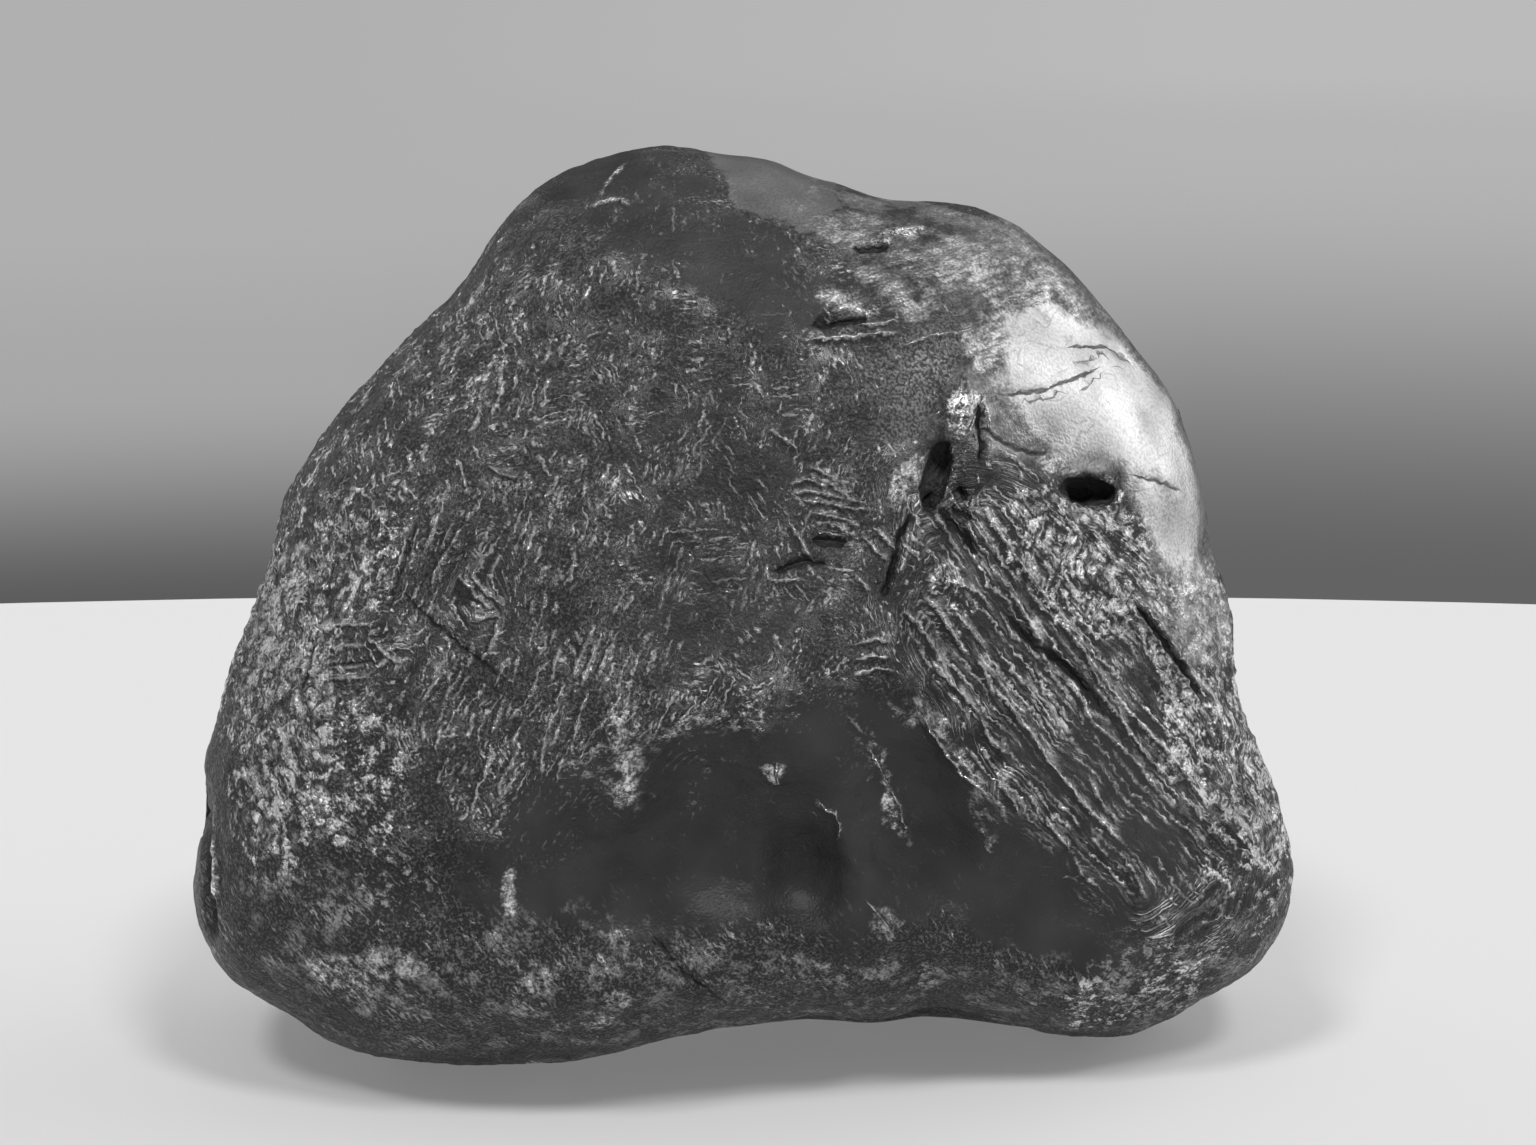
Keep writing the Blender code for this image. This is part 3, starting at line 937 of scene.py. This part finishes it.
# The bold crests, with a painted highlight on the side toward the light and painted shade
# on the side away from it, and the grooves.
fine_crinkle = product(tree, crinkles, 0.35)
loose_edge = spread(tree, mottle, 0.38, 0.62, 0.4, 1.4)


def line_place(tree, kind, number):
    """How far places lie from a set of lines, less than 0 on one side, and the lines' height."""
    side = added(tree, attribute(tree, f"{kind}_side_{number}"), fine_crinkle)
    return side, attribute(tree, f"{kind}_rise_{number}")


def on_line(tree, away, thickness, rise, edge):
    """How much of a line's height is left away from its middle."""
    left = spread(tree, maths(tree, "DIVIDE", away, thickness), 0.1, edge, 1.0, 0.0)
    return product(tree, left, rise)


bold_crest, painted_lit_side, painted_shade_side, groove = 0.0, 0.0, 0.0, 0.0
for number in range(len(ridge_sets)):
    side, rise = line_place(tree, "ridge", number)
    away = maths(tree, "ABSOLUTE", side)
    beside = product(tree, spread(tree, away, 0.5, 1.8, 1.0, 0.0), rise)
    above = maths(tree, "GREATER_THAN", side, 0.0)
    below = maths(tree, "SUBTRACT", 1.0, above)
    bold_crest = largest(tree, bold_crest, on_line(tree, away, thick, rise, 0.9))
    painted_lit_side = largest(tree, painted_lit_side, product(tree, beside, above))
    painted_shade_side = largest(tree, painted_shade_side, product(tree, beside, below))
for number in range(len(groove_sets)):
    side, rise = line_place(tree, "groove", number)
    away = maths(tree, "ABSOLUTE", side)
    rise = maths(tree, "MINIMUM", rise, 1.0)
    thickness = product(tree, added(tree, rise, 0.01), loose_edge)
    groove = largest(tree, groove, on_line(tree, away, thickness, rise, 1.3))
bold_crest = product(tree, bold_crest, spread(tree, beads, 0.35, 0.6, 0.4, 1.05))
# Painted shade: the fine lines are darkened on the side of each bold crest away from the light.
lines = product(tree, lines, spread(tree, painted_shade_side, 0, 0.8, 1.0, 0.0))
# Painted highlight: the side of each bold crest toward the light is lightened.
painted_lit_side = product(tree, painted_lit_side, spread(tree, west, 0.2, 0.8, 0.35, 1.0))
lines = added(tree, lines, product(tree, painted_lit_side, spread(tree, fibre, 0.42, 0.6, 0.0, 0.45)))
grit = product(
    tree,
    spread(tree, grain, 0.46, 0.62),
    spread(tree, west, 0, 0.6, 0.11, 0.0),
    carved,
)
lines = largest(tree, lines, grit)

# The rubbed skins, the lit facet and the dark patches, which are painted shade, cover the fine
# lines, but not the bold crests.
clouds = added(tree, attribute(tree, "clouds"), product(tree, fray, 0.3))
worn = ragged(tree, "worn", clouds, 1.2)
facet = ragged(tree, "facet", mottle, 0.8)
sandy = spread(tree, added(tree, attribute(tree, "sandy"), fray), 0.1, 1.0)
# Painted shade: the dark patches take the bright lines away.
dark = spread(tree, added(tree, attribute(tree, "dark"), fray), 0.25, 0.75)
dark_shade_cover = product(tree, dark, spread(tree, west, 0, 1, 0.85, 0.6))
covered = largest(tree, worn, facet, sandy, dark_shade_cover)
lines = product(tree, lines, spread(tree, covered, 0, 1, 1.0, 0.03))
lines = largest(tree, lines, bold_crest)

# Long faint streaks and dark veins of the worn skin.
inputs = {"Vector": where, "Rotation": (0, WIPED, 0), "Scale": STREAK_SIZES}
wiped = shader_node(tree, "ShaderNodeMapping", inputs, vector_type="TEXTURE").outputs["Vector"]
streaks = spots(tree, wiped, 1, 2, 0.6)
veins = added(tree, attribute(tree, "veins"), product(tree, fray, 0.04))
veins = maths(tree, "ABSOLUTE", maths(tree, "SUBTRACT", veins, 0.5))
veins = spread(tree, veins, 0.003, 0.012, 1.0, 0.0)

# Coarse wrinkles, where the skin is crumbly, and scales lower down.
wrinkles = added(tree, attribute(tree, "wrinkles"), product(tree, fray, 0.25))
wrinkles = maths(tree, "ABSOLUTE", maths(tree, "SUBTRACT", wrinkles, 0.5))
cracks = spread(tree, wrinkles, 0.012, 0.052, 1.0, 0.0)
crumbly = product(
    tree,
    ragged(tree, "crumbly", mottle, 2.0),
    spread(tree, covered, 0, 1, 1.0, 0.2),
)
flakes = added(tree, product(tree, mottle, 0.5), product(tree, fibre, 0.5))
crumb = product(
    tree,
    spread(tree, flakes, 0.43, 0.57, 0.06, 0.95),
    spread(tree, cracks, 0, 1, 1.0, 0.05),
    crumbly,
)
scales = product(
    tree,
    spread(tree, clouds, 0.46, 0.58),
    spread(tree, flakes, 0.43, 0.57, 0.1, 1.2),
    attribute(tree, "scaly"),
)

# Bright rubbed spots, and the smooth worn shoulder with its blots, whose brightness is
# partly a painted highlight.
rubbed = attribute(tree, "bright")
polish = spread(tree, added(tree, rubbed, product(tree, fray, 2.4)), 0.2, 0.9)
polish = product(tree, polish, rubbed, spread(tree, flakes, 0.43, 0.56, 0.2, 1.2))
many_blots = attribute(tree, "blots")
blots = product(tree, maths(tree, "SUBTRACT", many_blots, 0.5), 1.6)
blots = added(tree, blots, product(tree, fray, 1.2))
smooth = attribute(tree, "shine")
veins = product(tree, veins, spread(tree, many_blots, 0.5, 0.56))
# Painted highlight, over the polished metal of the shoulder.
shine = product(
    tree,
    spread(tree, added(tree, smooth, blots), 0.1, 0.8, 0.0, POLISHED_HIGHLIGHT_TONE),
    spread(tree, smooth, 0.05, 0.5),
    spread(tree, veins, 0, 1, 1.0, 0.75),
)

# The finest relief, which is left to the way that the skin catches the light.
relief = largest(tree, rows, fibres, product(tree, mottle, 0.9))
relief = largest(tree, product(tree, relief, carved), bold_crest)
relief = added(tree, relief, product(tree, grain, spread(tree, carved, 0, 1, 0.08, 0.4)))
relief = maths(tree, "SUBTRACT", relief, groove)
inputs = {"Height": relief, "Strength": 1.0, "Distance": MM}
bump = shader_node(tree, "ShaderNodeBump", inputs)

# The tone of each place: the brightest of the skins and lines there, over the dark ground.
cloud = product(
    tree,
    spread(tree, clouds, 0.42, 0.56, 0.3, 1.0),
    spread(tree, streaks, 0.4, 0.6, 0.5, 1.15),
    spread(tree, mottle, 0.35, 0.6, 0.7, 1.1),
)
sand = spread(tree, grain, 0.4, 0.62, *SAND_TONES)
bright = largest(
    tree,
    lines,
    crumb,
    product(tree, worn, WORN_TONE, cloud),
    polish,
    product(tree, scales, SCALE_TONE),
    product(tree, facet, LIT_FACET_TONE),
    product(tree, sandy, sand),
)
bright = product(tree, bright, spread(tree, grain, 0.42, 0.56, 0.7, 1.1))
shine = product(tree, shine, spread(tree, grain, 0.4, 0.58, 0.85, 1.05))
# Painted shade: in the holes the bright marks are left out, so that they read dark even where the
# lamps reach their floor, and the floor takes an even tone of DEEP_TONE.
deep = attribute(tree, "deep")
bright = product(
    tree,
    largest(tree, bright, shine),
    spread(tree, groove, 0, 0.7, 1.0, 0.0),
    spread(tree, deep, 0.05, 0.4, 1.0, 0.0),
)
ground = spread(tree, dark, 0, 1, SKIN_TONE, DARK_SKIN_TONE)
tone = added(tree, ground, product(tree, spread(tree, bright, 0.03, 0.9), BARE_TONE))
blotch = spread(tree, attribute(tree, "blotch"), 0.38, 0.62, 0.75, 1.25)
tone = product(tree, tone, blotch)
tone = largest(tree, tone, spread(tree, deep, 0.2, 1, 0.0, DEEP_TONE))
inputs = {"Red": tone, "Green": tone, "Blue": tone}
colour = shader_node(tree, "ShaderNodeCombineColor", inputs).outputs["Color"]
gloss = spread(tree, bright, 0, 1, DARK_GLOSS, BARE_GLOSS)
tree.links.new(colour, shader.inputs["Base Color"])
tree.links.new(bump.outputs["Normal"], shader.inputs["Normal"])
tree.links.new(gloss, shader.inputs["Roughness"])
tree.links.new(spread(tree, bright, 0.04, 0.3), shader.inputs["Metallic"])
shader.inputs["Specular IOR Level"].default_value = 0.25
mass.data.materials.clear()
mass.data.materials.append(iron)
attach(mass, "root")
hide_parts("meteorite")


# The table: a wide round top under a tight pale cloth, whose far edge shows behind the mass.
# The cloth is matt, and glows a little for the light that a real room throws back on it.
TABLE_RADIUS = 2.48
TABLE_FAR_EDGE = 0.441 + FACE_MIDDLE[1] * MM
TABLE_SIDES = 256
CLOTH_TONE = 0.57
CLOTH_GLOW = 0.18


def grey(tone):
    """A neutral colour."""
    return tone, tone, tone, 1


top = bmesh.new()
bmesh.ops.create_circle(top, cap_ends=True, segments=TABLE_SIDES, radius=TABLE_RADIUS)
bmesh.ops.translate(top, verts=top.verts[:], vec=(0, TABLE_FAR_EDGE - TABLE_RADIUS, 0))
mesh = bpy.data.meshes.new("table_top")
top.to_mesh(mesh)
top.free()
table = bpy.data.objects.new("table_top", mesh)
scene.collection.objects.link(table)
cloth = bpy.data.materials.new("pale_cloth")
cloth.use_nodes = True
tree = cloth.node_tree
shader = tree.nodes["Principled BSDF"]
shader.inputs["Base Color"].default_value = grey(CLOTH_TONE)
shader.inputs["Roughness"].default_value = 0.9
shader.inputs["Specular IOR Level"].default_value = 0.1
shader.inputs["Emission Color"].default_value = grey(1)
shader.inputs["Emission Strength"].default_value = CLOTH_GLOW
mesh.materials.append(cloth)


# The studio: two broad lamps high in front, one on each side, and soft panels: one overhead,
# a bright one low on the right, one low on the left and a weak one behind. The room behind
# the camera is dark, and the broad face reflects it. The backdrop is grey and lit from above,
# so it falls into shade toward its foot, sooner on the right.
LAMP_POWER = 1.15
LAMP_SPREAD = 12
LAMP_FORWARD = 28
LAMP_ASIDE = 19
# Panels: azimuth from the front, elevation, where each begins to fade and ends, and strength.
PANELS = (
    (10, 78, 14, 50, 0.3),
    (108, 26, 10, 38, 1.85),
    (-118, 14, 8, 40, 0.9),
    (165, 48, 14, 44, 0.3),
)
ROOM_TONE = 0.07
BACKDROP_FOOT = -0.26
BACKDROP_TOP = -0.09
BACKDROP_HALF = 0.1
# The backdrop's tone at its dark foot, where it is out of the shade, and above that: the
# share of the way up, and the tone.
LEFT_SHADES = ((0.07, 0.105), (0.38, 0.39), (0.6, 0.434))
RIGHT_SHADES = ((0.1, 0.125), (0.7, 0.46), (0.8, 0.497))

for name, aside in (("left_lamp", -LAMP_ASIDE), ("right_lamp", LAMP_ASIDE)):
    bulb = bpy.data.lights.new(name, "SUN")
    bulb.energy = LAMP_POWER
    bulb.angle = math.radians(LAMP_SPREAD)
    lamp = bpy.data.objects.new(name, bulb)
    lamp.rotation_euler = (math.radians(LAMP_FORWARD), math.radians(aside), 0)
    scene.collection.objects.link(lamp)

world = bpy.data.worlds.new("studio")
world.use_nodes = True
scene.world = world
tree = world.node_tree
way = shader_node(tree, "ShaderNodeTexCoord", {}).outputs["Generated"]
light = ROOM_TONE
for azimuth, elevation, inner, outer, strength in PANELS:
    side = math.radians(azimuth)
    rise = math.radians(elevation)
    aim = (
        math.sin(side) * math.cos(rise),
        -math.cos(side) * math.cos(rise),
        math.sin(rise),
    )
    edges = math.cos(math.radians(outer)), math.cos(math.radians(inner))
    glow = spread(tree, dot_product(tree, way, aim), *edges, 0, strength)
    light = added(tree, glow, light)
ways = shader_node(tree, "ShaderNodeSeparateXYZ", {"Vector": way}).outputs
up = spread(tree, ways["Z"], BACKDROP_FOOT, BACKDROP_TOP)
shades = []
for foot, knee, high in (LEFT_SHADES, RIGHT_SHADES):
    made = shader_node(tree, "ShaderNodeValToRGB", {"Fac": up})
    ramp = made.color_ramp
    ramp.interpolation = "EASE"
    ramp.elements[0].position = foot[0]
    ramp.elements[0].color = grey(foot[1])
    ramp.elements[1].position = high[0]
    ramp.elements[1].color = grey(high[1])
    ramp.elements.new(knee[0]).color = grey(knee[1])
    shades.append(made.outputs["Color"])
to_right = spread(tree, ways["X"], -BACKDROP_HALF, BACKDROP_HALF)
inputs = {"Factor": to_right, "A": shades[0], "B": shades[1]}
backdrop = shader_node(tree, "ShaderNodeMix", inputs, data_type="FLOAT").outputs["Result"]
seen = shader_node(tree, "ShaderNodeLightPath", {}).outputs["Is Camera Ray"]
lit = tree.nodes["Background"]
tree.links.new(light, lit.inputs["Color"])
shown = shader_node(tree, "ShaderNodeBackground", {"Color": backdrop})
inputs = {0: seen, 1: lit.outputs[0], 2: shown.outputs[0]}
chosen = shader_node(tree, "ShaderNodeMixShader", inputs).outputs[0]
tree.links.new(chosen, tree.nodes["World Output"].inputs["Surface"])
scene.view_settings.view_transform = "Standard"
